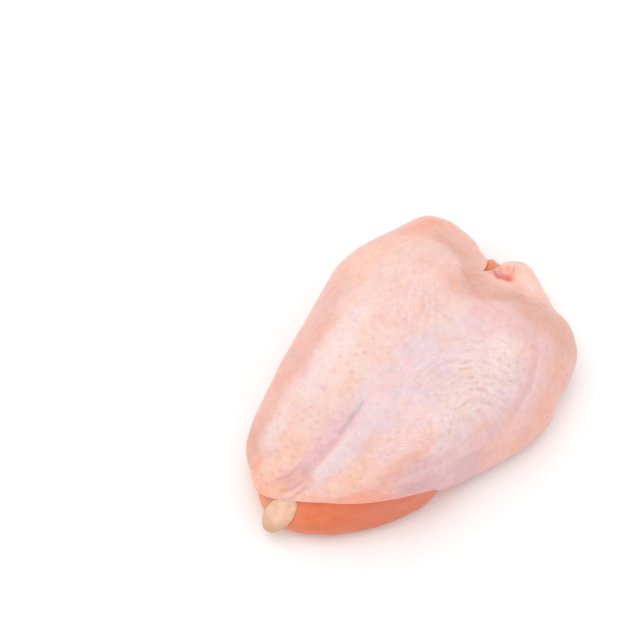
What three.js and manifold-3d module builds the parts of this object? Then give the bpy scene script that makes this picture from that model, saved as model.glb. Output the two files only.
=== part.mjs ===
// A raw chicken breast: both halves in one piece, trimmed of the wings and lying skin side up.
// +Y runs along the keel to the neck end, +X to the right half, +Z up; the table is z = 0. Millimetres.
// Three solids: the meat, the skin that wraps it down to the table, and the keel's cartilage tip, which shows
// at the tail between two stretches of bare meat. A notch at the neck end is bare as well.
import * as THREE from "three";
import { mergeVertices } from "three/addons/utils/BufferGeometryUtils.js";
import Module from "manifold-3d";

const { smoothstep, degToRad, radToDeg, lerp } = THREE.MathUtils;

// Crown: the top of the meat along the keel, how far it falls towards each end, and the lobe on either side.
const CROWN_HEIGHT = 58;
const CROWN_CENTRE = new THREE.Vector2(0, 4);
const TAIL_FALL = 30;
const NECK_FALL = 21;
const LOBE_RISE = 3.5;
const LOBE_OFFSET = 29;
const LOBE_WIDTH = 22;
const CROWN_ROUNDNESS = 2.4;
// Half-sizes of the plain oval that the inner rings follow, before the outline's own shape takes over.
const OVAL_HALF_WIDTH = 60;
const OVAL_HALF_LENGTH = 88;
// How far the flanks tuck in from the widest line to the edge that rests on the table.
const TUCK = 9;

const SKIN_THICKNESS = 1.5;
const CLEARANCE = 0.3;

// The widest line, once round from the tail tip by way of the left flank: x, y and its height above the table.
const WIDEST_LINE = [
  [-5, -87.5, 8],
  [-15, -85.5, 12.5],
  [-24.5, -77.5, 15.5],
  [-36, -69, 18],
  [-46, -40, 20],
  [-54.5, -4, 20],
  [-63, 31.5, 20],
  [-57.5, 56.5, 21],
  [-47, 83, 22],
  [-26, 85.5, 22],
  [-9, 79, 22],
  [5, 90.5, 20],
  [19, 83, 18],
  [41, 77.5, 16],
  [52.5, 67, 15],
  [57.5, 48.5, 15],
  [61.5, 31, 14],
  [54, 3, 14],
  [44.5, -22.5, 12],
  [41.5, -38, 10.5],
  [37, -50.5, 10],
  [22, -71, 9],
  [5, -84.5, 8],
];

// The skin's edge: the angle round the crown's centre, in degrees, and the edge's height above the table.
// It hangs low all round, but for the stretch of bare meat at the tail and the notch at the neck end.
const SKIN_HEM = 4;
const SKIN_EDGE = [
  [-180, SKIN_HEM],
  [-135, SKIN_HEM],
  [-118, 7],
  [-110, 11.5],
  [-102.4, 17.6],
  [-98, 19.1],
  [-94.5, 19.4],
  [-89, 21.5],
  [-80, 24.8],
  [-68, 27.4],
  [-57, 28.1],
  [-48, 26.6],
  [-41, 22.4],
  [-37, 16.5],
  [-33, 12.7],
  [-26, 10],
  [-8, SKIN_HEM],
  [66, SKIN_HEM],
  [84, 12],
  [88.4, 20],
  [89.4, 24.5],
  [90.2, 30],
  [91, 36.5],
  [91.8, 41],
  [92.5, 42],
  [93.3, 40.4],
  [94.2, 37.6],
  [95.4, 34.6],
  [97.1, 30.4],
  [100.5, 24],
  [107, 16],
  [122, SKIN_HEM],
  [180, SKIN_HEM],
];

// Relief on the meat, which the skin follows: a rounded ridge along a path in the plan, or a furrow where the
// height is negative.
const RELIEF = [
  { name: "keel furrow", path: [[-6, -78], [-5, -52], [-2, -24], [2, 8]], width: 8, height: -1.3 },
  { name: "furrow's deep end", path: [[-6, -70], [-5, -50], [-3, -32]], width: 4, height: -1 },
  { name: "shoulder crease", path: [[5, 44], [13, 52], [19, 61], [26, 72], [30, 78]], width: 6, height: -1.4 },
  { name: "shoulder flap", path: [[14, 76], [20, 82]], width: 11, height: 1.6 },
  { name: "neck pocket", path: [[3, 70], [7, 71]], width: 5.5, height: -2.5 },
  { name: "meat that bulges from the notch", path: [[-7, 78], [-2.5, 72.5]], width: 2.8, height: 1.6 },
  { name: "left shoulder fold", path: [[-45, 58], [-45, 75], [-35, 78]], width: 5, height: 1.2 },
  { name: "left shoulder hollow", path: [[-27, 68], [-13, 65], [-6, 59], [4, 47]], width: 7, height: -1.3 },
  { name: "right flank ridge", path: [[48, 38], [54, 19], [50, -13], [40, -38]], width: 4, height: 0.8 },
];

// The cartilage is a flat egg that leans with the slope of the tail.
const CARTILAGE_CENTRE = [-4.8, -83.4, 14.4];
const CARTILAGE_RADII = [6.9, 11.7, 5.3];
const CARTILAGE_LEAN = 38;
const CARTILAGE_TURN = -8;

// Rings of facets: the last of those under the skin lies on its edge, and the first follow a level line instead.
// The facets are finer at the tail and at the notch than along the flanks.
const POINTS_ROUND = 108;
const POINTS_ADDED_A_RING = 6;
const SKIN_RINGS = 23;
const BARE_RINGS = 4;
const BASE_RINGS = 10;
const LEVEL_LINE = 1.2;
const CROWDING = 0.6;

const widestLine = new THREE.CatmullRomCurve3(
  WIDEST_LINE.map((p) => new THREE.Vector3(...p)),
  true,
  "centripetal",
);

function rimAt(u) {
  return widestLine.getPointAt(((u % 1) + 1) % 1);
}

function ovalRadius(angle) {
  return 1 / Math.hypot(Math.cos(angle) / OVAL_HALF_WIDTH, Math.sin(angle) / OVAL_HALF_LENGTH);
}

// Height of the crown over a point of the plan, before the flanks fall away from it.
function crownHeight(x, y) {
  const ends = TAIL_FALL * smoothstep(-y, 15, 98) + NECK_FALL * smoothstep(y, 35, 98);
  const lobes = LOBE_RISE * Math.exp(-(((Math.abs(x) - LOBE_OFFSET) / LOBE_WIDTH) ** 2));
  return CROWN_HEIGHT - ends + lobes * (1 - smoothstep(Math.abs(y), 50, 90));
}

// The surface without relief. u runs once round the widest line; v runs down the meridian, from the crown (0)
// over the widest line (1) and the edge on the table (2) to the middle of the underside (3).
function plainSurface(u, v) {
  const rim = rimAt(u);
  const out = new THREE.Vector2(rim.x, rim.y).sub(CROWN_CENTRE);
  if (v <= 1) {
    const share = Math.sin((v * Math.PI) / 2);
    const reach = share * lerp(ovalRadius(out.angle()), out.length(), share ** 2);
    const at = out.clone().setLength(reach).add(CROWN_CENTRE);
    const fall = Math.max(0, 1 - share ** CROWN_ROUNDNESS) ** (1 / CROWN_ROUNDNESS);
    return new THREE.Vector3(at.x, at.y, lerp(rim.z, crownHeight(at.x, at.y), fall));
  }
  const turn = (Math.min(v - 1, 1) * Math.PI) / 2;
  const foot = out.length() - TUCK * (1 - Math.cos(turn));
  const at = out.setLength(foot * Math.min(1, 3 - v)).add(CROWN_CENTRE);
  return new THREE.Vector3(at.x, at.y, v >= 2 ? 0 : rim.z * (1 - Math.sin(turn)));
}

function distanceToPath(x, y, path) {
  const point = new THREE.Vector3(x, y, 0);
  const nearest = new THREE.Vector3();
  const corners = path.map(([cornerX, cornerY]) => new THREE.Vector3(cornerX, cornerY, 0));
  const distances = corners.slice(1).map((end, i) => {
    return new THREE.Line3(corners[i], end).closestPointToPoint(point, true, nearest).distanceTo(point);
  });
  return Math.min(...distances);
}

function reliefAt({ x, y }) {
  return RELIEF.reduce(
    (sum, { path, width, height }) => sum + height * Math.exp(-((distanceToPath(x, y, path) / width) ** 2)),
    0,
  );
}

// The direction that a surface faces, from its slope over a short step each way.
function facing(surface, u, v) {
  if (v === 0) return new THREE.Vector3(0, 0, 1);
  const step = 2e-3;
  const along = surface(u + step, v).sub(surface(u - step, v));
  const down = surface(u, v + step).sub(surface(u, Math.max(v - step, 0)));
  return along.cross(down).normalize();
}

// The meat's surface: the plain one with its relief, which dies out down the flanks.
function meatSurface(u, v) {
  const point = plainSurface(u, v);
  if (v >= 2) return point;
  return point.addScaledVector(facing(plainSurface, u, v), reliefAt(point) * (1 - smoothstep(v, 1, 2)));
}

// How steeply the skin's edge passes a place in its table: level at a top, a bottom and the ends.
function edgeSlope(k) {
  if (k === 0 || k === SKIN_EDGE.length - 1) return 0;
  const [before, after] = [k, k + 1].map((end) => {
    return (SKIN_EDGE[end][1] - SKIN_EDGE[end - 1][1]) / (SKIN_EDGE[end][0] - SKIN_EDGE[end - 1][0]);
  });
  return before * after > 0 ? (2 * before * after) / (before + after) : 0;
}

function edgeHeight(angle) {
  const next = Math.max(1, SKIN_EDGE.findIndex(([at]) => at >= angle));
  const [[fromAngle, fromHeight], [toAngle, toHeight]] = [SKIN_EDGE[next - 1], SKIN_EDGE[next]];
  const share = (angle - fromAngle) / (toAngle - fromAngle);
  const bow = (1 - share) * edgeSlope(next - 1) - share * edgeSlope(next);
  const straight = lerp(fromHeight, toHeight, smoothstep(share, 0, 1));
  return straight + (toAngle - fromAngle) * share * (1 - share) * bow;
}

// How far down the meridian the skin's edge lies, found by halving from its height.
function skinEdge(u) {
  const rim = rimAt(u);
  const height = edgeHeight(radToDeg(Math.atan2(rim.y - CROWN_CENTRE.y, rim.x - CROWN_CENTRE.x)));
  let [above, below] = [0.2, 2];
  for (let halving = 0; halving < 30; halving++) {
    const middle = (above + below) / 2;
    if (plainSurface(u, middle).z > height) above = middle;
    else below = middle;
  }
  return above;
}

// One ring of the meat's points. place(u) says how far down the meridian each lies. Every other ring is turned by
// half a step, but for the full rings, which pass the skin's edge.
function ring(k, count, place) {
  const halfStep = count < POINTS_ROUND ? (k % 2) / 2 : 0;
  return Array.from({ length: count }, (_, i) => {
    const turn = (i + halfStep) / count;
    const u = turn - (CROWDING * Math.sin(4 * Math.PI * turn)) / (4 * Math.PI);
    const v = place(u);
    return { turn, point: meatSurface(u, v), normal: facing(meatSurface, u, v) };
  });
}

function meatRings() {
  const rings = [[{ turn: 0, point: meatSurface(0, 0), normal: facing(meatSurface, 0, 0) }]];
  for (let k = 1; k <= SKIN_RINGS; k++) {
    const count = Math.min(POINTS_ADDED_A_RING * k, POINTS_ROUND);
    const share = k / SKIN_RINGS;
    rings.push(ring(k, count, (u) => share * lerp(LEVEL_LINE, skinEdge(u), share)));
  }
  for (let k = 1; k <= BARE_RINGS; k++) {
    rings.push(ring(SKIN_RINGS + k, POINTS_ROUND, (u) => lerp(skinEdge(u), 2, k / BARE_RINGS)));
  }
  for (let k = 1; k < BASE_RINGS; k++) {
    const share = k / BASE_RINGS;
    rings.push(ring(SKIN_RINGS + BARE_RINGS + k, Math.round(POINTS_ROUND * (1 - share)), () => 2 + share));
  }
  rings.push([{ turn: 0, point: meatSurface(0, 3) }]);
  return rings;
}

// Where the point after the n-th of a ring lies on the way round; a ring that has come full circle has none.
function turnAfter(ringPoints, n) {
  const count = ringPoints.length;
  if (count === 1 || n >= count) return Infinity;
  return ringPoints[(n + 1) % count].turn + Math.floor((n + 1) / count);
}

// Joins rings, the first and last of which are single points, into one closed surface that faces outwards.
function closedSurface(rings) {
  const points = rings.flat().map(({ point }) => point);
  const index = [];
  let start = 0;
  for (let k = 0; k + 1 < rings.length; k++) {
    const [upper, lower] = [rings[k], rings[k + 1]];
    const lowerStart = start + upper.length;
    let [i, j] = [0, 0];
    while (turnAfter(upper, i) < Infinity || turnAfter(lower, j) < Infinity) {
      const a = start + (i % upper.length);
      const b = lowerStart + (j % lower.length);
      const lead = turnAfter(upper, i) - turnAfter(lower, j);
      if (lead < 0 || (lead === 0 && upper.length < lower.length)) {
        i += 1;
        index.push(a, start + (i % upper.length), b);
      } else {
        j += 1;
        index.push(a, lowerStart + (j % lower.length), b);
      }
    }
    start = lowerStart;
  }
  const geometry = new THREE.BufferGeometry().setFromPoints(points);
  geometry.setIndex(index);
  geometry.computeVertexNormals();
  return geometry;
}

// One face of the skin: the rings that it covers, moved out from the meat.
function skinFace(rings, distance) {
  return rings.slice(0, SKIN_RINGS + 1).map((ringPoints) =>
    ringPoints.map(({ turn, point, normal }) => {
      return { turn, point: point.clone().addScaledVector(normal, distance) };
    }),
  );
}

const wasm = await Module();
wasm.setup();

function solidOf(geometry) {
  const bare = new THREE.BufferGeometry().setAttribute("position", geometry.getAttribute("position"));
  bare.setIndex(geometry.index);
  const merged = mergeVertices(bare, 1e-4);
  return new wasm.Manifold(
    new wasm.Mesh({
      numProp: 3,
      vertProperties: new Float32Array(merged.attributes.position.array),
      triVerts: new Uint32Array(merged.index.array),
    }),
  );
}

function geometryOf(solid) {
  const { vertProperties, triVerts } = solid.getMesh();
  const geometry = new THREE.BufferGeometry();
  geometry.setAttribute("position", new THREE.BufferAttribute(new Float32Array(vertProperties), 3));
  geometry.setIndex(new THREE.BufferAttribute(new Uint32Array(triVerts), 1));
  geometry.computeVertexNormals();
  return geometry;
}

// The cartilage tip, or the socket that it lies in when grown by a clearance.
function cartilageEgg(grown) {
  const egg = new THREE.SphereGeometry(1, 24, 14);
  egg.scale(...CARTILAGE_RADII.map((radius) => radius + grown));
  egg.rotateX(degToRad(CARTILAGE_LEAN));
  egg.rotateZ(degToRad(CARTILAGE_TURN));
  egg.translate(...CARTILAGE_CENTRE);
  return solidOf(egg);
}

function piece(name, geometry, color, roughness) {
  const mesh = new THREE.Mesh(
    geometry,
    new THREE.MeshStandardMaterial({ color, roughness, metalness: 0 }),
  );
  mesh.name = name;
  return mesh;
}

const rings = meatRings();
const meatWhole = closedSurface(rings);
const skinOuter = skinFace(rings, CLEARANCE + SKIN_THICKNESS);
const skinInner = skinFace(rings, CLEARANCE);
const skinWhole = closedSurface([...skinOuter, ...skinInner.reverse()]);
const socket = cartilageEgg(CLEARANCE);

const breast = new THREE.Group();
breast.name = "chicken_breast";
breast.add(piece("meat", geometryOf(solidOf(meatWhole).subtract(socket)), 0xe0855f, 0.35));
breast.add(piece("skin", geometryOf(solidOf(skinWhole).subtract(socket)), 0xf6d2c2, 0.45));
breast.add(piece("keel_cartilage", geometryOf(cartilageEgg(0)), 0xebc59f, 0.4));

// The origin is on the table, under the middle of the whole.
const middle = new THREE.Box3().setFromObject(breast).getCenter(new THREE.Vector3());
breast.position.set(-middle.x, -middle.y, 0);

export default breast;
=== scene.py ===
"""A raw chicken breast with its skin on, lying skin side up on a pale table.

The skin and the meat follow the solids' own surface, worked out here at a finer grain: a dome on the
widest line, with the same relief. On top come the unevenness, follicles, wrinkles and folds of real skin.
Lengths are in millimetres until a mesh is made, with +Y along the keel to the neck end and +X to the right
half.
"""

import math
from itertools import product

import bpy
import numpy as np
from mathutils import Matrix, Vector, noise
from mathutils.kdtree import KDTree


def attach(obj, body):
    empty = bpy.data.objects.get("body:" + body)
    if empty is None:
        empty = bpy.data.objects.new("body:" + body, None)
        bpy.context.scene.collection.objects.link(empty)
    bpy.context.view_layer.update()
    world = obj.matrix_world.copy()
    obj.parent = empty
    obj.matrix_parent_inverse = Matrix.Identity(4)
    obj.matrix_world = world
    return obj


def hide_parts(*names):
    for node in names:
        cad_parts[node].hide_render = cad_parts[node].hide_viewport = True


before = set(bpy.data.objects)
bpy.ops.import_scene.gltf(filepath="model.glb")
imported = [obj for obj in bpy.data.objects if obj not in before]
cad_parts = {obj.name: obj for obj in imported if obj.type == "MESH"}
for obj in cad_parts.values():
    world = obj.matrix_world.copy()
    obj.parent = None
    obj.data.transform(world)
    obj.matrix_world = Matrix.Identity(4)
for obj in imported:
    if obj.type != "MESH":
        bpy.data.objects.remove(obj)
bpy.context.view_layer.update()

MM = 0.001
# Where the middle of the solids' box lies from the point that the lengths below are measured from.
BOX_MIDDLE = np.array([-0.726, -0.368, 0.0])

# The camera: what it looks at, its turn and height in degrees, and its distance in metres.
CAMERA_AIM = np.array([-61.77, 13.03, 0.0])
CAMERA_AZIMUTH = 40
CAMERA_ELEVATION = 60
CAMERA_DISTANCE = 0.9
CAMERA_LENS = 101.25
CAMERA_SENSOR = 36

# The light: one soft lamp over the table, placed in metres, and the white all round.
LAMP_PLACE = (-0.35, -0.25, 1.9)
LAMP_SIZE = 1.2
LAMP_POWER = 6
WHITE_POWER = 1.08
# How much brighter than its own colour the lit skin shows.
LIT = 1.08

# The form that the solids have too, from here down to the cartilage.
CROWN_HEIGHT = 58
CROWN_CENTRE = np.array([0.0, 4.0])
TAIL_FALL = 30
NECK_FALL = 21
LOBE_RISE = 3.5
LOBE_OFFSET = 29
LOBE_WIDTH = 22
CROWN_ROUNDNESS = 2.4
# Where the crown's falls start and end along the keel, and where the lobes fade out.
TAIL_FALL_PLACES = (15, 98)
NECK_FALL_PLACES = (35, 98)
LOBE_FADE_PLACES = (50, 90)
# Near the crown the surface is round about an oval, and further down it takes the widest line's outline.
OVAL_HALF_WIDTH = 60
OVAL_HALF_LENGTH = 88
# How far the foot lies in from the widest line.
TUCK = 9
SKIN_THICKNESS = 1.5
CLEARANCE = 0.3
SKIN_HEM = 4

# Closed curve through the widest points: x, y and height.
WIDEST_LINE = [
    (-5, -87.5, 8), (-15, -85.5, 12.5), (-24.5, -77.5, 15.5), (-36, -69, 18), (-46, -40, 20),
    (-54.5, -4, 20), (-63, 31.5, 20), (-57.5, 56.5, 21), (-47, 83, 22), (-26, 85.5, 22),
    (-9, 79, 22), (5, 90.5, 20), (19, 83, 18), (41, 77.5, 16), (52.5, 67, 15),
    (57.5, 48.5, 15), (61.5, 31, 14), (54, 3, 14), (44.5, -22.5, 12), (41.5, -38, 10.5),
    (37, -50.5, 10), (22, -71, 9), (5, -84.5, 8),
]

# The skin's edge: the angle round the crown in degrees, and the height. At the tail it lies about a
# millimetre higher than the solid's, and in the notch about two millimetres deeper.
SKIN_EDGE = [
    (-180, SKIN_HEM), (-135, SKIN_HEM), (-118, 7), (-110, 11.5), (-102.4, 17.6), (-98, 19.1),
    (-94.5, 19.6), (-89, 22.3), (-80, 25.6), (-68, 28.1), (-57, 29.1), (-48, 27.8), (-41, 23.6),
    (-37, 17.3), (-33, 13), (-26, 10), (-8, SKIN_HEM), (66, SKIN_HEM), (84, 12), (88.4, 20),
    (89.4, 24.5), (90.2, 30), (91, 37.5), (91.7, 42.3), (92.4, 43.4), (93.3, 41.2), (94.2, 37.6),
    (95.4, 34.6), (97.1, 30.4), (100.5, 24), (107, 16), (122, SKIN_HEM), (180, SKIN_HEM),
]

# Path in the plan, width and height of each ridge, or furrow where the height is negative.
RELIEF = [
    ([(-6, -78), (-5, -52), (-2, -24), (2, 8)], 8, -1.3),
    ([(-6, -70), (-5, -50), (-3, -32)], 4, -1),
    ([(5, 44), (13, 52), (19, 61), (26, 72), (30, 78)], 6, -1.4),
    ([(14, 76), (20, 82)], 11, 1.6),
    ([(3, 70), (7, 71)], 5.5, -2.5),
    ([(-7, 78), (-2.5, 72.5)], 2.8, 1.6),
    ([(-45, 58), (-45, 75), (-35, 78)], 5, 1.2),
    ([(-27, 68), (-13, 65), (-6, 59), (4, 47)], 7, -1.3),
    ([(48, 38), (54, 19), (50, -13), (40, -38)], 4, 0.8),
]

# The cartilage is a flat egg. It leans and turns by these angles, in degrees.
CARTILAGE_CENTRE = np.array([-4.8, -83.4, 14.4])
CARTILAGE_RADII = np.array([6.9, 11.7, 5.3])
CARTILAGE_LEAN = 38
CARTILAGE_TURN = -8

# Layers of unevenness: the height, size and seed of each. The meat's fibres are layers drawn out level, and
# the cartilage's sizes are shares of its radii.
UNEVENNESS = [(0.8, 26, 1), (0.35, 11, 2)]
SKIN_UNEVENNESS = [(0.17, 3.2, 7), (0.11, 1.7, 8)]
MEAT_UNEVENNESS = [(0.5, 9, 22)]
FIBRES = [(0.22, 1.6, 21)]
FIBRE_STRETCH = np.array([0.25, 0.25, 1.0])
CARTILAGE_UNEVENNESS = [(0.25, 0.5, 31)]
# How far the noise moves along each axis from one seed to the next.
SEED_STEPS = (17.3, 9.1, 5.7)

# Rings of points from the crown down.
SKIN_RINGS = 170
POINTS_ROUND = 680
POINTS_ADDED_A_RING = 6
LINING_RINGS = 20
LINING_POINTS_ROUND = 108
HEM_STEPS = 5
BARE_RINGS = 44
BASE_RINGS = 30
FEWEST_POINTS_ROUND = 12
# Rings near the crown are level, on the way to this line, and those further down head for the skin's edge.
LEVEL_LINE = 1.2
# How much closer together points lie at the tail and in the notch.
CROWDING = 0.3
# The meat's rings under the skin, as shares of the way to its edge: how far the coarse ones go, and where
# the fine ones start.
COARSE_REACH = 0.94
FINE_START = 0.95
# How many steps short of the edge the lining's last ring lies.
LINING_SHORT_BY = 0.5
# The underside's last point, just short of its middle, where the surface has no slope.
LAST_POINT = 2.9999
# Half the step over which a surface's slope is taken.
SLOPE_STEP = 2e-3

# Places that the fine relief follows, as paths in the plan.
LEFT_TRACT = [(-19, -80), (-18, -61), (-12, -39), (-15, -7), (-14, 21)]
RIGHT_TRACT = [(1, -76), (26, -56), (30, -40), (36, -19), (38, 7), (39, 37)]
KEEL_GROOVE = [(-4, -65), (-1, -57), (0.5, -50), (1.2, -40), (0.8, -33)]
TAIL_CREASES = [
    [(-9, -77), (-5, -74), (-3, -69)],
    [(-6, -79), (-2, -76), (0, -70)],
    [(-13, -75), (-10, -71), (-9, -66)],
]
FLANK_FOLD = [(47.4, 42), (52, 33), (54, 25), (55, 16), (54, 1), (50, -13), (43, -29), (38, -44)]
POCKET = [(4, 69), (7, 72)]
NOTCH_MEAT = [(-7, 78), (-3, 72)]

# How wide each of them is.
LEFT_TRACT_WIDTH = 15
RIGHT_TRACT_WIDTH = 13
GROOVE_WIDTH = 2.2
CREASE_WIDTH = 0.8
FOLD_WIDTH = 1.2
POCKET_WIDTH = 3
NOTCH_MEAT_WIDTH = 2.6

# Follicles: the distance between two, the radius of one, and how strong they are away from the tracts.
FOLLICLE_SPACING = 3.9
FOLLICLE_RADIUS = 0.85
FOLLICLES_ELSEWHERE = 0.3

# Short wrinkles lie in arcs about one middle: the first arc's radius and the last one's, the distance
# between two arcs, the headings between which they run, in degrees, and a wrinkle's usual length and width.
WRINKLE_MIDDLE = np.array([52, -7])
WRINKLE_RADII = (17, 46)
WRINKLE_SPACING = 3.1
WRINKLE_HEADINGS = (98, 212)
WRINKLE_LENGTH = 5
WRINKLE_WIDTH = 0.7
# What is drawn at random: how far round an arc starts, a wrinkle's length and the gap after it as shares of
# the usual length, how far off its arc it lies as a share of the spacing, how far off its ends and its
# middle are, how strong it is, and how many of them show.
ARC_STARTS = (0, 0.2)
WRINKLE_LENGTHS = (0.5, 1.3)
WRINKLE_GAPS = (0.2, 0.9)
WRINKLE_SHIFTS = (-0.4, 0.4)
WRINKLE_TILTS = (-0.5, 0.5)
WRINKLE_BOWS = (-0.3, 0.3)
WRINKLE_STRENGTHS = (0.2, 1)
WRINKLES_SHOWN = 0.72
# They are strongest round this place, and fade to the last number away from it.
WRINKLE_PATCH = np.array([32, 11])
WRINKLE_PATCH_RADIUS = 16
WRINKLES_ELSEWHERE = 0.25
# How far a wrinkle's lit side lies from it, towards the middle of the arcs.
WRINKLE_CREST_SHIFT = 1.1

# How far each kind of fine relief stands out from the skin, or lies in where it is negative.
FINE_HEIGHTS = {
    "follicle": 0.26,
    "wrinkle": -0.3,
    "crest": 0.08,
    "groove": -0.35,
    "fold": 0.16,
    "pocket": -0.9,
    "crease": -0.3,
}
# How much each kind darkens the skin, as painted shade in the bottoms of wrinkles, the keel's groove and
# the tail's creases.
FINE_SHADES = {"wrinkle": 0.9, "groove": 0.15, "crease": 0.6}

# How close to its edge the skin loses most of its fine relief, and how much of it.
EDGE_REACH = 0.02
EDGE_CALM = 0.7
# Over the cartilage the skin thins out close to its edge: the depths in the cartilage's egg at which that
# starts and is full, how close to the edge it is, and how much of the hem's thickness is lost.
THINNING_DEPTHS = (-0.2, 0.1)
THINNING_REACH = 0.06
HEM_THINNING = 0.8
# How the skin is moved out over the cartilage: in how many steps, how far in one for its depth in the egg,
# the greatest depth that counts, and how far off it stays, usually and where it thins out.
DRAPE_STEPS = 20
DRAPE_MOVE = 2.5
DRAPE_DEEPEST = 0.15
DRAPE_MARGIN = 0.09
DRAPE_THIN_MARGIN = 0.015

# How far what lies under the skin keeps below the pocket, and how far round it.
SINK_DEPTH = 2
SINK_WIDTH = 8

# How far the meat bulges in the notch.
NOTCH_MEAT_HEIGHT = 1.1
# Shares of the way to the skin's edge between which the meat takes on its own relief, and between which it
# leaves off keeping below the pocket. Its own relief fades out again between the last two, at the foot.
BARE_STARTS = (0.95, 1.02)
COVERED_ENDS = (0.85, 0.93)
BARE_ENDS = (1.7, 2)
# Between which values each tint laid over the meat comes in or fades out: past the skin's edge for the
# painted shade under it, in height, towards the right end and the left one, and towards the tail.
SHADED_PLACES = (0.01, 0.09)
LOW_HEIGHTS = (11, 22)
RIGHT_END_PLACES = (4, 36)
LEFT_END_PLACES = (-13, 12)
TAIL_PLACES = (0, 40)
# How far below the cartilage's middle the tint of its tip starts and is full.
TIP_DEPTHS = (-4, 6)

# Stretches of fine wrinkles that run along one heading: name, middle and radii in the plan, heading.
CREPE = [
    ("crepe_right", (34, 4), (26, 15), 57),
    ("crepe_left", (-12, 22), (24, 16), 122),
    ("crepe_top", (-30, 52), (24, 14), 45),
    ("crepe_low", (24, -38), (20, 9), 58),
]


def lerp(start, end, share):
    return start + (end - start) * share


def smoothstep(value, start, end):
    share = np.clip((value - start) / (end - start), 0, 1)
    return share * share * (3 - 2 * share)


def rim_samples(samples_a_span=160):
    """Points along the closed centripetal curve through the widest line, and how far round each lies."""
    knots = np.array(WIDEST_LINE, float)
    before = np.roll(knots, 1, axis=0)
    after = np.roll(knots, -1, axis=0)
    beyond = np.roll(knots, -2, axis=0)
    span = np.sqrt(np.linalg.norm(after - knots, axis=1))[:, None]
    span_before = np.roll(span, 1, axis=0)
    span_after = np.roll(span, -1, axis=0)
    leaving = ((knots - before) / span_before - (after - before) / (span_before + span)) * span
    leaving += after - knots
    arriving = ((beyond - after) / span_after - (beyond - knots) / (span + span_after)) * span
    arriving += after - knots
    points = []
    for share in np.arange(samples_a_span) / samples_a_span:
        square = -3 * knots + 3 * after - 2 * leaving - arriving
        cube = 2 * knots - 2 * after + leaving + arriving
        points.append(knots + leaving * share + square * share**2 + cube * share**3)
    points = np.stack(points, axis=1).reshape(-1, 3)
    points = np.vstack([points, points[:1]])
    length = np.concatenate([[0], np.cumsum(np.linalg.norm(np.diff(points, axis=0), axis=1))])
    return length / length[-1], points


RIM_TURNS, RIM_POINTS = rim_samples()


def rim_at(u):
    return np.column_stack([np.interp(u % 1, RIM_TURNS, RIM_POINTS[:, axis]) for axis in range(3)])


def crown_height(x, y):
    ends = TAIL_FALL * smoothstep(-y, *TAIL_FALL_PLACES) + NECK_FALL * smoothstep(y, *NECK_FALL_PLACES)
    lobes = LOBE_RISE * np.exp(-(((np.abs(x) - LOBE_OFFSET) / LOBE_WIDTH) ** 2))
    return CROWN_HEIGHT - ends + lobes * (1 - smoothstep(np.abs(y), *LOBE_FADE_PLACES))


def plain_surface(u, v):
    """The surface without relief.

    u goes once round from 0 to 1. v is 0 at the crown, 1 on the widest line, 2 at the foot and 3 in the
    middle of the underside.
    """
    rim = rim_at(u)
    out = rim[:, :2] - CROWN_CENTRE
    length = np.hypot(out[:, 0], out[:, 1])
    heading = out / length[:, None]
    oval = 1 / np.hypot(heading[:, 0] / OVAL_HALF_WIDTH, heading[:, 1] / OVAL_HALF_LENGTH)
    share = np.sin(np.clip(v, 0, 1) * math.pi / 2)
    turn = np.clip(v - 1, 0, 1) * math.pi / 2
    above = v <= 1
    foot = (length - TUCK * (1 - np.cos(turn))) * np.clip(3 - v, 0, 1)
    reach = np.where(above, share * lerp(oval, length, share**2), foot)
    at = CROWN_CENTRE + heading * reach[:, None]
    fall = np.clip(1 - share**CROWN_ROUNDNESS, 0, None) ** (1 / CROWN_ROUNDNESS)
    dome = lerp(rim[:, 2], crown_height(at[:, 0], at[:, 1]), fall)
    flank = np.where(v >= 2, 0, rim[:, 2] * (1 - np.sin(turn)))
    return np.column_stack([at, np.where(above, dome, flank)])


def distance_to_path(points, path):
    """How far each point lies from a path in the plan."""
    corners = np.array(path, float)
    plan = points[:, :2]
    nearest = np.full(len(plan), np.inf)
    for start, end in zip(corners[:-1], corners[1:]):
        step = end - start
        share = np.clip((plan - start) @ step / (step @ step), 0, 1)
        gap = plan - start - share[:, None] * step
        nearest = np.minimum(nearest, np.hypot(gap[:, 0], gap[:, 1]))
    return nearest


def band(points, path, width):
    """1 on a path in the plan, and less the further a point lies from it."""
    return np.exp(-((distance_to_path(points, path) / width) ** 2))


def patch(points, centre, radii, heading):
    """A soft oval patch in the plan; heading turns its first radius from +X, in degrees."""
    away = points[:, :2] - np.array(centre, float)
    turn = math.radians(heading)
    along = away @ np.array([math.cos(turn), math.sin(turn)]) / radii[0]
    across = away @ np.array([-math.sin(turn), math.cos(turn)]) / radii[1]
    return np.exp(-(along**2 + across**2))


def lumps(points, size, seed):
    """Smooth noise between about -1 and 1, with features of the given size."""
    offset = Vector([step * seed for step in SEED_STEPS])
    return np.array([noise.noise(Vector(point) + offset) for point in points / size])


def unevenness(points, layers):
    """How far each point stands out, in layers of noise."""
    return sum(height * lumps(points, size, seed) for height, size, seed in layers)


def relief(points):
    """How far the surface stands out from the plain one."""
    ridges = [height * band(points, path, width) for path, width, height in RELIEF]
    return sum(ridges, unevenness(points, UNEVENNESS))


def facing(surface, u, v):
    """The direction that a surface faces, which is up at the crown and down where points fall together."""
    along = surface(u + SLOPE_STEP, v) - surface(u - SLOPE_STEP, v)
    down = surface(u, v + SLOPE_STEP) - surface(u, np.maximum(v - SLOPE_STEP, 0))
    normal = np.cross(along, down)
    normal[v == 0] = (0, 0, 1)
    length = np.linalg.norm(normal, axis=1, keepdims=True)
    return np.where(length > 0, normal / np.maximum(length, 1e-12), (0, 0, -1))


def meat_surface(u, v):
    points = plain_surface(u, v)
    height = relief(points) * (1 - smoothstep(v, 1, 2))
    return points + facing(plain_surface, u, v) * height[:, None]


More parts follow.
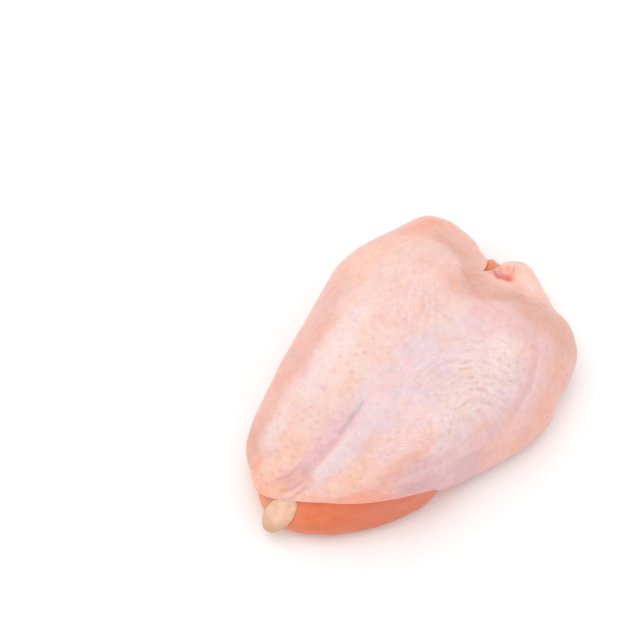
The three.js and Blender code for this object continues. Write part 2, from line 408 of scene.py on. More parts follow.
def edge_height(angle):
    """The height of the skin's edge at each angle: a smooth curve through its table, with no overshoot."""
    angles, heights = np.array(SKIN_EDGE, float).T
    rise = np.diff(heights) / np.diff(angles)
    both = rise[:-1] * rise[1:]
    slopes = np.zeros(len(angles))
    slopes[1:-1] = np.where(both > 0, 2 * both / np.where(both > 0, rise[:-1] + rise[1:], 1), 0)
    after = np.clip(np.searchsorted(angles, angle), 1, len(angles) - 1)
    width = angles[after] - angles[after - 1]
    share = (angle - angles[after - 1]) / width
    bow = (1 - share) * slopes[after - 1] - share * slopes[after]
    straight = lerp(heights[after - 1], heights[after], smoothstep(share, 0, 1))
    return straight + width * share * (1 - share) * bow


def skin_edge_table(samples=1440, halvings=30):
    """How far down the meridian the skin's edge lies, once round, found by halving from its height."""
    turns = np.arange(samples + 1) / samples
    rim = rim_at(turns)
    angle = np.degrees(np.arctan2(rim[:, 1] - CROWN_CENTRE[1], rim[:, 0] - CROWN_CENTRE[0]))
    height = edge_height(angle)
    above = np.full(len(turns), 0.2)
    below = np.full(len(turns), 2.0)
    for _ in range(halvings):
        middle = (above + below) / 2
        higher = plain_surface(turns, middle)[:, 2] > height
        above = np.where(higher, middle, above)
        below = np.where(higher, below, middle)
    return turns, above


EDGE_TURNS, EDGE_PLACES = skin_edge_table()


def skin_edge(u):
    return np.interp(u % 1, EDGE_TURNS, EDGE_PLACES)


def ring_turns(k, count):
    """How far round each point of a ring lies, counted evenly and with more at the tail and the notch."""
    half_step = (k % 2) / 2 if count < LINING_POINTS_ROUND else 0
    turn = (np.arange(count) + half_step) / count
    return turn, turn - CROWDING * np.sin(4 * math.pi * turn) / (4 * math.pi)


def next_turns(turns):
    """How far round the point after each one of a ring lies. A ring of a single point has none."""
    if len(turns) == 1:
        return np.empty(0)
    return np.append(turns[1:], turns[0] + 1)


def joined(rings):
    """The triangles between rings of points, each given by how far round its points lie."""
    faces = []
    start = 0
    for upper, lower in zip(rings[:-1], rings[1:]):
        after = [next_turns(upper), next_turns(lower)]
        from_upper = np.concatenate([np.ones(len(after[0]), int), np.zeros(len(after[1]), int)])
        from_upper = from_upper[np.argsort(np.concatenate(after), kind="stable")]
        i = np.cumsum(from_upper) - from_upper
        j = np.cumsum(1 - from_upper) - (1 - from_upper)
        lower_start = start + len(upper)
        a = start + i % len(upper)
        b = lower_start + j % len(lower)
        next_a = start + (i + 1) % len(upper)
        next_b = lower_start + (j + 1) % len(lower)
        faces.append(np.column_stack([a, np.where(from_upper == 1, next_a, next_b), b]))
        start = lower_start
    return np.vstack(faces)


def made_mesh(name, points, faces):
    mesh = bpy.data.meshes.new(name)
    mesh.from_pydata(((points - BOX_MIDDLE) * MM).tolist(), [], faces.tolist())
    mesh.shade_smooth()
    mesh.update()
    made = bpy.data.objects.new(name, mesh)
    bpy.context.collection.objects.link(made)
    return made


def store(made, name, values):
    """Keeps one number or one colour for each point of the mesh, for its material to read."""
    if values.ndim == 1:
        layer = made.data.attributes.new(name, "FLOAT", "POINT")
        layer.data.foreach_set("value", values.astype(np.float32))
    else:
        layer = made.data.attributes.new(name, "FLOAT_COLOR", "POINT")
        opaque = np.column_stack([values, np.ones(len(values))])
        layer.data.foreach_set("color", opaque.astype(np.float32).ravel())


def linear(*srgb):
    """The linear colour of one that is given in sRGB, from 0 to 255."""
    share = np.array(srgb, float) / 255
    return np.where(share <= 0.04045, share / 12.92, ((share + 0.055) / 1.055) ** 2.4)


def scattered(points, spacing, seed):
    """Points picked at random, each at least the spacing from every other."""
    cells = np.floor(points / spacing).astype(int).tolist()
    steps = list(product((-1, 0, 1), repeat=3))
    taken = {}
    for index in np.random.default_rng(seed).permutation(len(points)):
        x, y, z = cells[index]
        around = [(x + i, y + j, z + k) for i, j, k in steps]
        near = [taken[cell] for cell in around if cell in taken]
        if all(np.linalg.norm(points[index] - points[other]) > spacing for other in near):
            taken[x, y, z] = index
    return points[list(taken.values())]


def nearest_of(points, places):
    """Which place lies nearest to each point, and how far away."""
    tree = KDTree(len(places))
    for index, place in enumerate(places):
        tree.insert(place, index)
    tree.balance()
    found = np.array([tree.find(point)[1:] for point in points])
    return found[:, 0].astype(int), found[:, 1]


def arc_point(turn, reach):
    return WRINKLE_MIDDLE + reach * np.array([math.cos(turn), math.sin(turn)])


def wrinkles(points, seed=3):
    """Short wrinkles over the right lobe: how deep in one each point lies, and how far up its lit side."""
    random = np.random.default_rng(seed)
    deep = np.zeros(len(points))
    lit = np.zeros(len(points))
    first, last = np.radians(WRINKLE_HEADINGS)
    for radius in np.arange(*WRINKLE_RADII, WRINKLE_SPACING):
        angle = first + random.uniform(*ARC_STARTS)
        while angle < last:
            step = WRINKLE_LENGTH * random.uniform(*WRINKLE_LENGTHS) / radius
            away = radius + random.uniform(*WRINKLE_SHIFTS) * WRINKLE_SPACING
            tilt = random.uniform(*WRINKLE_TILTS)
            middle = arc_point(angle + step / 2, away + random.uniform(*WRINKLE_BOWS))
            path = [arc_point(angle, away - tilt), middle, arc_point(angle + step, away + tilt)]
            crest = [place + WRINKLE_CREST_SHIFT * (WRINKLE_MIDDLE - place) / radius for place in path]
            near = math.exp(-(((middle - WRINKLE_PATCH) ** 2).sum() / WRINKLE_PATCH_RADIUS**2))
            strength = random.uniform(*WRINKLE_STRENGTHS) * lerp(WRINKLES_ELSEWHERE, 1, near)
            if random.uniform() < WRINKLES_SHOWN:
                deep = np.maximum(deep, strength * band(points, path, WRINKLE_WIDTH))
                lit = np.maximum(lit, strength * band(points, crest, WRINKLE_WIDTH))
            angle += step + random.uniform(*WRINKLE_GAPS) * WRINKLE_LENGTH / radius
    return deep, lit


def shown(*srgb):
    """The colour that shows as the given one once it is lit."""
    return linear(*srgb) / LIT


# Painted shade for the bottoms of wrinkles, the keel's groove and the tail's creases.
PAINTED_SHADE_PINK = shown(206, 146, 136)
DOT_PINK = shown(214, 160, 144)
# Painted highlight for the wrinkles' lit sides.
PAINTED_HIGHLIGHT_PINK = shown(255, 236, 230)

# The skin's tints, as they show in full light. Most of the skin gets less, so a red may pass 255.
TINTS = {
    "lilac": (242, 210, 215),
    "cream": (256, 220, 216),
    "pale rose": (260, 211, 205),
    "pale peach": (252, 209, 199),
    "peach": (258, 200, 181),
    "dusty pink": (239, 192, 190),
    "salmon": (242, 182, 168),
    "orange": (250, 173, 151),
    "brown pink": (227, 164, 147),
    "mauve": (220, 171, 176),
    "highlight pink": (251, 222, 221),
    "pink": (254, 200, 209),
    "rose": (239, 165, 152),
    "raw red": (241, 112, 104),
    "pocket shade red": (188, 108, 98),
    "groove shade mauve": (196, 168, 178),
    "grey": (186, 176, 164),
}

# The skin's zones: the name, how wide the zone is, its tint, and the path in the plan that it follows.
TONES = [
    ("left flank", 7, "salmon", [(-36, -60), (-37, -42), (-39, -24), (-47, -1), (-51, 18)]),
    ("left flank's foot", 6, "brown pink", [(-33, -72), (-37, -66)]),
    # Paler skin, partly a painted highlight on the top of the left half.
    ("pale strip of the left half", 6, "cream", [(-27, -65), (-27, -50), (-25, -32), (-26, -12), (-28, 1)]),
    ("left shoulder", 7, "peach", [(-48, 20), (-46, 37), (-42, 49)]),
    ("left shoulder's point", 6, "orange", [(-45, 63), (-45, 77), (-37, 80)]),
    ("upper left half", 8, "pale peach", [(-30, 14), (-31, 32), (-31, 46)]),
    ("upper middle", 8, "pale rose", [(-13, 13), (-15, 29), (-18, 47)]),
    ("edge of the hollow", 6, "salmon", [(-24, 45), (-15, 46), (-4, 44)]),
    # Painted shade in the hollow.
    ("hollow", 4, "brown pink", [(-31, 67), (-23, 68), (-14, 66), (-3, 56), (3, 49)]),
    ("slope to the notch", 5, "salmon", [(-23, 75), (-14, 71), (-5, 65)]),
    # Painted shade in the shoulder crease.
    ("shoulder crease", 3, "brown pink", [(7, 47), (14, 53), (19, 61), (27, 72)]),
    ("flap", 4, "peach", [(9, 78), (15, 78), (21, 79)]),
    ("wall of the pocket", 4, "peach", [(0, 77), (4, 81), (9, 84)]),
    ("right shoulder", 7, "brown pink", [(30, 58), (38, 62), (45, 62)]),
    ("below the crease", 6, "dusty pink", [(12, 39), (21, 44), (30, 49)]),
    ("right of the middle", 8, "pale peach", [(0, 26), (6, 35)]),
    ("left feather tract, tail end", 6, "peach", [(-20, -79), (-17, -69), (-16, -59)]),
    ("left feather tract", 6, "pale peach",
     [(-15, -52), (-13, -41), (-12, -28), (-13, -18), (-15, -1), (-18, 13)]),
    ("keel", 4.5, "pink", [(-5, -72), (-4, -64), (-2, -55), (0, -46)]),
    ("keel's groove", 1.6, "lilac", [(0, -41), (0, -35), (0, -28)]),
    ("beside the keel", 5, "lilac",
     [(4, -67), (6, -57), (8, -44), (11, -32), (10, -24), (10, -15), (10, -5)]),
    ("breast's middle", 7, "lilac", [(8, 5), (10, 15), (12, 26)]),
    ("right of the keel", 7, "lilac", [(15, -23), (19, -10), (23, 4)]),
    # Paler skin, partly a painted highlight on the top of the right half.
    ("pale middle of the right half", 8, "cream", [(34, -1), (36, 10), (36, 22), (34, 30)]),
    ("right feather tract, tail end", 5, "peach", [(5, -70), (13, -61), (19, -50)]),
    ("right feather tract", 6, "pale rose", [(23, -43), (27, -34), (32, -23)]),
    ("right feather tract, neck end", 6, "cream", [(33, -16), (37, -6)]),
    ("tract's rim", 3, "salmon", [(28, -50), (32, -42), (36, -30)]),
    ("thin skin over the right muscle", 6, "lilac", [(39, -23), (43, -9), (46, 5), (47, 20)]),
    ("thin skin by the fold", 5, "dusty pink",
     [(44, -22), (47, -12), (50, 1), (52, 12), (52, 23), (48, 38), (45, 45), (43, 56)]),
    ("skin by the edge", 3, "mauve",
     [(37, -46), (41, -37), (44, -28), (46, -26), (48, -17), (51, -11), (53, -4), (53, 3)]),
    ("right flank", 4.5, "salmon", [(54, -5), (58, 4), (60, 14), (62, 24), (60, 38), (55, 54)]),
    ("cut edge", 2, "orange", [(1, -77), (14, -70), (26, -60), (34, -51)]),
    ("tail's left edge", 3, "orange", [(-26, -77), (-19, -82), (-12, -82), (-5, -80), (0, -77)]),
    ("creases at the tail", 3, "orange", [(-10, -78), (-7, -73), (-4, -68)]),
    ("far side of the neck", 7, "salmon", [(-62, 45), (-54, 70), (-44, 84)]),
    ("far side of the neck end", 6, "salmon", [(-26, 88), (-9, 83), (5, 91)]),
    ("left flank, low", 7, "salmon", [(-62, 20), (-52, -12), (-44, -44)]),
]

# How soft a zone is on its path, and how steeply it gives way to the others further out.
ZONE_SOFTNESS = 0.5
ZONE_FALL = -1.5
# Layers of unevenness by which the zones' borders wander along X, and those along Y.
ZONE_WANDER = [
    [(2.2, 11, 5), (1, 4, 6)],
    [(2.2, 11, 9), (1, 4, 10)],
]

# Small marks laid over them: the tint, how much of it, its width and its path.
ACCENTS = [
    ("rose", 1, 0.8, [(0, 75), (2, 73)]),
    ("rose", 1, 0.9, [(2, 79), (4, 76)]),
    ("rose", 1, 0.7, [(4.5, 81), (6.5, 77)]),
    # The raw meat's red in the pocket, darkened as painted shade, and a line of painted shade along its
    # lower edge.
    ("raw red", 1, 3, [(3.6, 69.2), (7, 72.4)]),
    ("pocket shade red", 0.8, 0.7, [(0.4, 69.7), (3.1, 68.1), (5.5, 64.5)]),
    # Painted highlight in the middle of the flap.
    ("cream", 0.5, 3.5, [(13, 78), (17, 78)]),
    ("peach", 0.8, 4, [(-12, -79), (-5, -79), (2, -77)]),
    ("pink", 0.6, 2.4, [(6.6, -4.5), (8, -7.5)]),
    # Painted shade: a band down the keel groove's shaded wall, and a dark line in its bottom.
    ("mauve", 0.35, 3.4, [(-4.4, -65), (-2.4, -57.3), (-0.8, -50.4), (0.3, -45), (0.8, -38)]),
    ("groove shade mauve", 0.45, 1.1, [(0, -46), (0.7, -41), (0.9, -35.4), (0.6, -31.5)]),
    # Painted highlight on the keel groove's lit wall.
    ("highlight pink", 0.6, 1.6, [(4.6, -44), (4.4, -50), (2.6, -56.5), (0.9, -64)]),
    # Painted shade beside the flank's fold, and a painted highlight along its ridge.
    ("mauve", 0.3, 1.4, [(46, 40), (50, 32), (52.2, 26), (52.8, 20), (53, 13)]),
    ("highlight pink", 0.45, 0.8, [(47.4, 41.9), (52, 32.8), (53.8, 27.2), (54.2, 22.3), (55, 18.4)]),
    # Painted highlight along the hem.
    ("highlight pink", 0.35, 1, [(34.6, -45.5), (38.8, -38.1), (42.4, -29.3), (45, -20.6)]),
    ("orange", 0.3, 3, [(55, -4), (58, 5), (60.5, 13), (62.5, 24), (62.5, 38), (60, 50)]),
    ("cream", 0.2, 2, [(52.5, -3), (56, 7), (58, 17)]),
    ("grey", 0.25, 1.6, [(1.4, -12), (1.2, -13)]),
    ("grey", 0.25, 1.8, [(11.6, -20), (12, -21)]),
]


def skin_tone(points):
    """The skin's colour at each point: pink where it is thin over muscle, peach where fat lies under it,
    with painted shade and highlights.
    """
    wandered = points.copy()
    for axis, layers in enumerate(ZONE_WANDER):
        wandered[:, axis] += unevenness(points, layers)
    tone = np.zeros((len(points), 3))
    total = np.zeros((len(points), 1))
    for _, width, tint, path in TONES:
        share = (ZONE_SOFTNESS + (distance_to_path(wandered, path) / width) ** 2) ** ZONE_FALL
        tone += share[:, None] * shown(*TINTS[tint])
        total += share[:, None]
    tone /= total
    for tint, amount, width, path in ACCENTS:
        tone = lerp(tone, shown(*TINTS[tint]), (amount * band(points, path, width))[:, None])
    return tone


def fine_relief(points):
    """How far the outer face stands out, and where its follicles, shaded lines and lit lines are."""
    left = band(points, LEFT_TRACT, LEFT_TRACT_WIDTH)
    right = band(points, RIGHT_TRACT, RIGHT_TRACT_WIDTH)
    tract = np.maximum(np.maximum(left, right), FOLLICLES_ELSEWHERE)
    follicles = scattered(points, FOLLICLE_SPACING, seed=11)
    nearest, away = nearest_of(points, follicles)
    strength = np.random.default_rng(12).uniform(0, 1, len(follicles))[nearest]
    dots = strength * np.exp(-((away / FOLLICLE_RADIUS) ** 2)) * tract
    deep, lit = wrinkles(points)
    marks = {
        "follicle": dots,
        "wrinkle": deep,
        "crest": lit,
        "groove": band(points, KEEL_GROOVE, GROOVE_WIDTH),
        "fold": band(points, FLANK_FOLD, FOLD_WIDTH),
        "pocket": band(points, POCKET, POCKET_WIDTH),
        "crease": np.max([band(points, path, CREASE_WIDTH) for path in TAIL_CREASES], axis=0),
    }
    shift = sum(height * marks[name] for name, height in FINE_HEIGHTS.items())
    shift += unevenness(points, SKIN_UNEVENNESS)
    shade = sum(amount * marks[name] for name, amount in FINE_SHADES.items())
    return shift, {"follicle": dots, "shade": np.clip(shade, 0, 1), "painted_highlight": lit}


def turned_about_z(points, angle):
    turn = math.radians(angle)
    x = points[:, 0] * math.cos(turn) - points[:, 1] * math.sin(turn)
    y = points[:, 0] * math.sin(turn) + points[:, 1] * math.cos(turn)
    return np.column_stack([x, y, points[:, 2]])


def inside_cartilage(points):
    """Above 0 inside the cartilage's egg, and 0 on it."""
    lean = math.radians(CARTILAGE_LEAN)
    away = turned_about_z(points - CARTILAGE_CENTRE, -CARTILAGE_TURN)
    along = (away[:, 1] * math.cos(lean) + away[:, 2] * math.sin(lean)) / CARTILAGE_RADII[1]
    thick = (away[:, 2] * math.cos(lean) - away[:, 1] * math.sin(lean)) / CARTILAGE_RADII[2]
    across = away[:, 0] / CARTILAGE_RADII[0]
    return 1 - np.sqrt(across**2 + along**2 + thick**2)


def sink(points):
    """How far what lies under the skin keeps below the pocket."""
    return SINK_DEPTH * band(points, POCKET, SINK_WIDTH)


def draped(points, normal, thinning):
    """Moves points out until they lie over the cartilage, close over it where the skin thins out."""
    margin = lerp(DRAPE_MARGIN, DRAPE_THIN_MARGIN, thinning)
    for _ in range(DRAPE_STEPS):
        depth = np.clip(inside_cartilage(points) + margin, 0, DRAPE_DEEPEST)
        points = points + normal * (DRAPE_MOVE * depth)[:, None]
    return points


def single_point(v):
    """A ring of one point."""
    return np.zeros(1), np.zeros(1), np.full(1, v)


def rings_to_edge(count, points_round, beyond=0.0, reach=1.0):
    """Rings from the crown to the skin's edge: how far round each point lies, by both counts, and its v."""
    rings = [single_point(0.0)]
    for k in range(1, count + 1):
        turn, u = ring_turns(k, min(POINTS_ADDED_A_RING * k, points_round))
        share = k / (count + beyond)
        rings.append((turn, u, reach * share * lerp(LEVEL_LINE, skin_edge(u), share)))
    return rings


def ring_places(rings):
    """u and v of all the rings' points."""
    return [np.concatenate([ring[part] for ring in rings]) for part in (1, 2)]


def outer_face(u, v):
    """The skin's outer face: its points, the way that they face, how far it thins out, and its marks."""
    base = meat_surface(u, v)
    normal = facing(meat_surface, u, v)
    shift, marks = fine_relief(base)
    edge = 1 - smoothstep(skin_edge(u) - v, 0, EDGE_REACH)
    thick = CLEARANCE + SKIN_THICKNESS + shift * (1 - EDGE_CALM * edge)
    over = smoothstep(inside_cartilage(base + normal), *THINNING_DEPTHS)
    thinning = over * (1 - smoothstep(skin_edge(u) - v, 0, THINNING_REACH))
    return draped(base + normal * thick[:, None], normal, thinning), normal, thinning, marks


def hem_steps(rim, normal, thinning, u, v):
    """The round hem between the outer face's last ring and the lining, one array of points a step."""
    down = meat_surface(u, v + SLOPE_STEP) - meat_surface(u, v - SLOPE_STEP)
    down /= np.linalg.norm(down, axis=1, keepdims=True)
    radius = SKIN_THICKNESS / 2 * (1 - HEM_THINNING * thinning[:, None])
    steps = []
    for step in range(1, HEM_STEPS):
        turn = math.pi * step / HEM_STEPS
        steps.append(rim + radius * ((math.cos(turn) - 1) * normal + math.sin(turn) * down))
    return steps


def make_skin():
    outer = rings_to_edge(SKIN_RINGS, POINTS_ROUND)
    u, v = ring_places(outer)
    face, normal, thinning, marks = outer_face(u, v)
    rim = slice(-len(outer[-1][0]), None)
    hem = hem_steps(face[rim], normal[rim], thinning[rim], u[rim], v[rim])

    lining = rings_to_edge(LINING_RINGS, LINING_POINTS_ROUND, beyond=LINING_SHORT_BY)[::-1]
    inner_u, inner_v = ring_places(lining)
    inner = meat_surface(inner_u, inner_v)
    inner += facing(meat_surface, inner_u, inner_v) * (CLEARANCE - sink(inner))[:, None]

    turns = [ring[0] for ring in outer] + [outer[-1][0]] * len(hem) + [ring[0] for ring in lining]
    points = np.vstack([face, *hem, inner])
    made = made_mesh("breast_skin", points, joined(turns))
    extra = len(points) - len(face)
    store(made, "tone", skin_tone(points))
    for name, values in marks.items():
        store(made, name, np.concatenate([values, np.zeros(extra)]))
    for name, centre, radii, heading in CREPE:
        store(made, name, patch(points, centre, radii, heading))
    return made


def meat_rings():
    """Coarse rings under the skin, fine ones from just above its edge to the foot, and the underside's."""
    rings = rings_to_edge(LINING_RINGS, LINING_POINTS_ROUND, reach=COARSE_REACH)
    for k in range(1, BARE_RINGS + 1):
        turn, u = ring_turns(k, POINTS_ROUND)
        share = k / BARE_RINGS
        rings.append((turn, u, lerp(FINE_START * skin_edge(u), 2, share)))
    for k in range(1, BASE_RINGS):
        share = k / BASE_RINGS
        turn, u = ring_turns(k, max(FEWEST_POINTS_ROUND, round(POINTS_ROUND * (1 - share))))
        rings.append((turn, u, np.full(len(u), 2 + share)))
    rings.append(single_point(LAST_POINT))
    return rings


def make_meat():
    rings = meat_rings()
    u, v = ring_places(rings)
    points = meat_surface(u, v)
    normal = facing(meat_surface, u, v)
    edge = skin_edge(u)
    bare = smoothstep(v, *[share * edge for share in BARE_STARTS]) * (1 - smoothstep(v, *BARE_ENDS))
    covered = 1 - smoothstep(v, *[share * edge for share in COVERED_ENDS])
    shift = unevenness(points * FIBRE_STRETCH, FIBRES)
    shift += unevenness(points, MEAT_UNEVENNESS)
    shift += NOTCH_MEAT_HEIGHT * band(points, NOTCH_MEAT, NOTCH_MEAT_WIDTH)
    points = points + normal * (shift * bare - sink(points) * covered)[:, None]
    points[:, 2] = np.maximum(points[:, 2], 0)
    made = made_mesh("breast_meat", points, joined([ring[0] for ring in rings]))

    # How much each point has of each tint that is laid over the meat.
    x, y, z = points.T
    tail = smoothstep(-y, *TAIL_PLACES)
    # Painted shade on the meat just under the skin's edge.
    store(made, "shaded", 1 - smoothstep(v - edge, *SHADED_PLACES))
    store(made, "low", 1 - smoothstep(z, *LOW_HEIGHTS))
    store(made, "right_end", smoothstep(x, *RIGHT_END_PLACES) * tail)
    store(made, "left_end", smoothstep(-x, *LEFT_END_PLACES) * tail)
    return made


def make_cartilage(across=96, down=64):
    rings = []
    points = []
    for k in range(down + 1):
        polar = math.pi * k / down
        count = 1 if k in (0, down) else across
        turn = (np.arange(count) + (k % 2) / 2) / count
        around = 2 * math.pi * turn
        flat = np.column_stack([
            math.sin(polar) * np.cos(around),
            math.sin(polar) * np.sin(around),
            np.full(count, math.cos(polar)),
        ])
        rings.append(turn)
        points.append(flat)
    points = np.vstack(points)
    points = points * (CARTILAGE_RADII + unevenness(points, CARTILAGE_UNEVENNESS)[:, None])
    lean = math.radians(CARTILAGE_LEAN)
    leant = np.column_stack([
        points[:, 0],
        points[:, 1] * math.cos(lean) - points[:, 2] * math.sin(lean),
        points[:, 1] * math.sin(lean) + points[:, 2] * math.cos(lean),
    ])
    placed = turned_about_z(leant, CARTILAGE_TURN) + CARTILAGE_CENTRE
    made = made_mesh("cartilage_tip", placed, joined(rings))
    store(made, "tip", smoothstep(-leant[:, 2], *TIP_DEPTHS))
    return made


class Shader:
    """Builds a material's nodes. Most calls add nodes and give back the output of the last."""

    def __init__(self, name):
        self.material = bpy.data.materials.new(name)
        self.material.use_nodes = True
        self.tree = self.material.node_tree
        self.surface = self.tree.nodes["Principled BSDF"]
        self.place = self.add("ShaderNodeTexCoord").outputs["Object"]

    def add(self, kind, inputs=None, **settings):
        made = self.tree.nodes.new(kind)
        for name, value in settings.items():
            setattr(made, name, value)
        for name, value in (inputs or {}).items():
            self.put(made.inputs[name], value)
        return made

    def put(self, socket, value):
        if isinstance(value, bpy.types.NodeSocket):
            self.tree.links.new(value, socket)
        else:
            socket.default_value = value

    def attribute(self, name, output):
        return self.add("ShaderNodeAttribute", attribute_name=name).outputs[output]

    def times(self, place, stretch):
        return self.add("ShaderNodeVectorMath", {0: place, 1: stretch}, operation="MULTIPLY").outputs[0]

    def noise(self, size, detail=3, roughness=0.55, stretch=(1, 1, 1)):
        """Noise from 0 to 1 with features of the given size in millimetres."""
        inputs = {
            "Vector": self.times(self.place, stretch),
            "Scale": 1 / (size * MM),
            "Detail": detail,
            "Roughness": roughness,
        }
        return self.add("ShaderNodeTexNoise", inputs).outputs["Fac"]

    def crepe(self, size=2.8, stretch=0.22, width=0.09):
        """Fine wrinkles, 1 in the bottom of each, over every stretch that has them."""
        total = 0.0
        for name, _, _, heading in CREPE:
            turn = {"Vector": self.place, "Angle": -math.radians(heading)}
            turned = self.add("ShaderNodeVectorRotate", turn).outputs[0]
            inputs = {
                "Vector": self.times(turned, (stretch, 1, 1)),
                "Scale": 1 / (size * MM),
                "Detail": 1,
                "Distortion": 0.3,
            }
            waves = self.add("ShaderNodeTexNoise", inputs).outputs["Fac"]
            ridge = self.maths("ABSOLUTE", self.maths("SUBTRACT", waves, 0.5), 0.0)
            line = self.span(ridge, 0.0, width, 1.0, 0.0)
            total = self.maths("MAXIMUM", total, self.maths("MULTIPLY", line, self.attribute(name, "Fac")))
        return total

    def cells(self, size, feature):
        inputs = {"Vector": self.place, "Scale": 1 / (size * MM)}
        return self.add("ShaderNodeTexVoronoi", inputs, feature=feature).outputs["Distance"]

    def span(self, value, low, high, to_low=0.0, to_high=1.0):
        """Carries a range of values over to another, without going past its ends."""
        inputs = {"Value": value, "From Min": low, "From Max": high, "To Min": to_low, "To Max": to_high}
        return self.add("ShaderNodeMapRange", inputs).outputs["Result"]

    def maths(self, operation, a, b):
        return self.add("ShaderNodeMath", {0: a, 1: b}, operation=operation).outputs[0]

    def mix(self, amount, a, b, blend="MIX"):
        """Mixes two colours. The node has a socket of one name for each type, so these go by number."""
        made = self.tree.nodes.new("ShaderNodeMix")
        made.data_type = "RGBA"
        made.blend_type = blend
        self.put(made.inputs["Factor"], amount)
        self.put(made.inputs[6], a)
        self.put(made.inputs[7], b)
        return made.outputs[2]

    def marked(self, colour, name, amount, tint):
        """Lays a tint over the colour where the named attribute is above 0."""
        return self.mix(self.maths("MULTIPLY", self.attribute(name, "Fac"), amount), colour, rgba(tint))

    def bump(self, height, distance, strength, normal=None):
        inputs = {"Height": height, "Distance": distance * MM, "Strength": strength}
        if normal is not None:
            inputs["Normal"] = normal
        return self.add("ShaderNodeBump", inputs).outputs["Normal"]

    def finish(self, **inputs):
        """Sets the surface's inputs, with an underscore for each space in their names."""
        for name, value in inputs.items():
            self.put(self.surface.inputs[name.replace("_", " ")], value)
        return self.material


def rgba(colour):
    return (*[float(channel) for channel in colour], 1.0)


# Speckle that the skin's colour is multiplied by: the noise's size, detail and roughness, the values
# between which it comes in, and the tint.
SKIN_SPECKLE = [
    (9, 3, 0.55, 0.48, 0.68, (1.0, 0.93, 0.86, 1)),
    (7, 3, 0.55, 0.48, 0.68, (0.94, 0.925, 0.965, 1)),
    (2.6, 3, 0.55, 0.46, 0.66, (1.03, 1.075, 1.08, 1)),
    (0.9, 4, 0.7, 0.35, 0.65, (0.93, 0.905, 0.9, 1)),
]

# What is laid over the colour: the attribute, how much, and the tint. The shade is painted shade in the
# wrinkles, the groove and the creases, and the last is a painted highlight on the wrinkles' lit sides.
SKIN_MARKS = [("follicle", 0.6, DOT_PINK), ("shade", 0.6, PAINTED_SHADE_PINK), ("painted_highlight", 0.45, PAINTED_HIGHLIGHT_PINK)]
MEAT_MARKS = [
    ("right_end", 0.7, shown(212, 112, 82)),
    ("low", 0.45, shown(214, 100, 48)),
    ("left_end", 0.8, shown(238, 164, 126)),
    # Painted shade just under the skin's edge.
    ("shaded", 0.4, shown(224, 98, 66)),
]


def skin_material():
    s = Shader("skin")
    colour = s.attribute("tone", "Color")
    for size, detail, roughness, low, high, tint in SKIN_SPECKLE:
        speckle = s.span(s.noise(size, detail, roughness), low, high)
        colour = s.mix(speckle, colour, tint, "MULTIPLY")
    for mark in SKIN_MARKS:
        colour = s.marked(colour, *mark)
    crepe = s.crepe()
    # Painted shade in the bottoms of the fine wrinkles.
    colour = s.mix(s.maths("MULTIPLY", crepe, 0.15), colour, rgba(PAINTED_SHADE_PINK))
    pebbles = s.bump(s.cells(1.6, "SMOOTH_F1"), 0.2, 0.6)
    folds = s.bump(s.maths("SUBTRACT", 1.0, crepe), 0.35, 0.6, pebbles)
    normal = s.bump(s.noise(0.7, detail=3), 0.09, 0.6, folds)
    return s.finish(
        Base_Color=colour,
        Roughness=s.span(s.noise(3), 0.3, 0.7, 0.36, 0.5),
        Normal=normal,
        Subsurface_Weight=0.5,
        Subsurface_Radius=(0.005, 0.0018, 0.0011),
        Subsurface_Scale=1.0,
        Coat_Weight=0.12,
        Coat_Roughness=0.28,
    )


def meat_material():
    s = Shader("meat")
    fibres = s.noise(2.2, detail=4, stretch=(0.2, 0.2, 1))
    colour = s.mix(s.span(fibres, 0.35, 0.65), rgba(shown(224, 110, 60)), rgba(shown(232, 128, 78)))
    pale = s.span(s.noise(9), 0.5, 0.75)
    colour = s.mix(s.maths("MULTIPLY", pale, 0.35), colour, rgba(shown(234, 140, 98)))
    for mark in MEAT_MARKS:
        colour = s.marked(colour, *mark)
    return s.finish(
        Base_Color=colour,
        Roughness=s.span(s.noise(4), 0.3, 0.7, 0.3, 0.42),
        Normal=s.bump(fibres, 0.15, 0.6),
        Subsurface_Weight=0.3,
        Subsurface_Radius=(0.004, 0.0014, 0.0008),
        Subsurface_Scale=1.0,
        Coat_Weight=0.08,
        Coat_Roughness=0.25,
    )


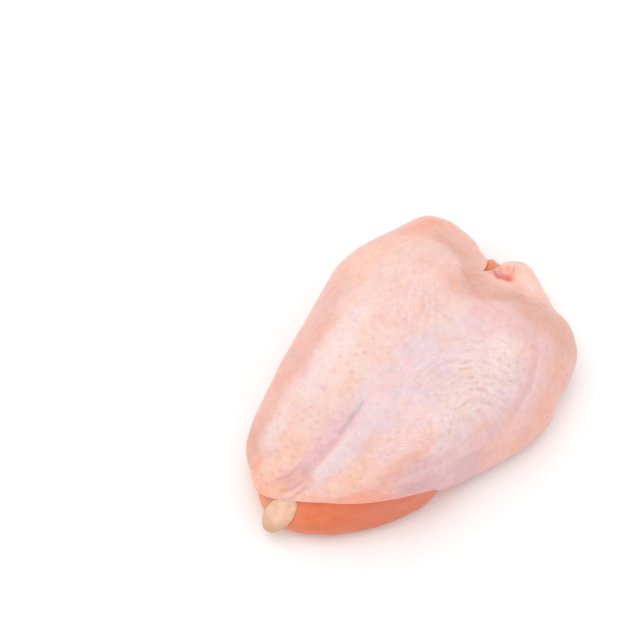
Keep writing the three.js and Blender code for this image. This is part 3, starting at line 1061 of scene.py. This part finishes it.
def cartilage_material():
    s = Shader("cartilage")
    cloudy = s.noise(4, detail=4)
    colour = s.mix(s.span(cloudy, 0.35, 0.65), rgba(shown(228, 179, 150)), rgba(shown(242, 198, 172)))
    colour = s.marked(colour, "tip", 0.85, shown(194, 153, 118))
    return s.finish(
        Base_Color=colour,
        Roughness=s.span(s.noise(3), 0.3, 0.7, 0.32, 0.45),
        Normal=s.bump(s.noise(1.5), 0.1, 0.4),
        Subsurface_Weight=0.4,
        Subsurface_Radius=(0.004, 0.002, 0.0012),
        Subsurface_Scale=1.0,
        Coat_Weight=0.15,
        Coat_Roughness=0.25,
    )


def dress(made, node, material):
    made.data.materials.append(material)
    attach(made, "root")
    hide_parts(node)


def add_floor():
    bpy.ops.mesh.primitive_plane_add(size=6)
    floor = bpy.context.object
    floor.name = "table"
    s = Shader("table")
    shade = s.span(s.noise(60), 0.3, 0.7, 0.92, 0.94)
    colour = s.add("ShaderNodeCombineColor", {0: shade, 1: shade, 2: shade}).outputs[0]
    floor.data.materials.append(s.finish(Base_Color=colour, Roughness=0.7))


def add_light(name, place, size, power):
    light = bpy.data.lights.new(name, "AREA")
    light.size = size
    light.energy = power
    made = bpy.data.objects.new(name, light)
    made.location = place
    made.rotation_euler = (-Vector(place)).to_track_quat("-Z", "Y").to_euler()
    bpy.context.collection.objects.link(made)


def add_lights():
    add_light("key", LAMP_PLACE, LAMP_SIZE, LAMP_POWER)
    world = bpy.data.worlds.new("studio")
    world.use_nodes = True
    background = world.node_tree.nodes["Background"].inputs
    background["Color"].default_value = (1, 1, 1, 1)
    background["Strength"].default_value = WHITE_POWER
    bpy.context.scene.world = world


def add_camera():
    azimuth = math.radians(CAMERA_AZIMUTH)
    elevation = math.radians(CAMERA_ELEVATION)
    aim = Vector((CAMERA_AIM - BOX_MIDDLE) * MM)
    back = Vector((
        math.sin(azimuth) * math.cos(elevation),
        -math.cos(azimuth) * math.cos(elevation),
        math.sin(elevation),
    ))
    camera = bpy.data.cameras.new("camera")
    camera.lens = CAMERA_LENS
    camera.sensor_width = CAMERA_SENSOR
    made = bpy.data.objects.new("camera", camera)
    made.location = aim + back * CAMERA_DISTANCE
    made.rotation_euler = (-back).to_track_quat("-Z", "Y").to_euler()
    bpy.context.collection.objects.link(made)
    bpy.context.scene.camera = made


dress(make_meat(), "meat", meat_material())
dress(make_skin(), "skin", skin_material())
dress(make_cartilage(), "keel_cartilage", cartilage_material())
add_floor()
add_lights()
add_camera()
bpy.context.scene.view_settings.view_transform = "Standard"
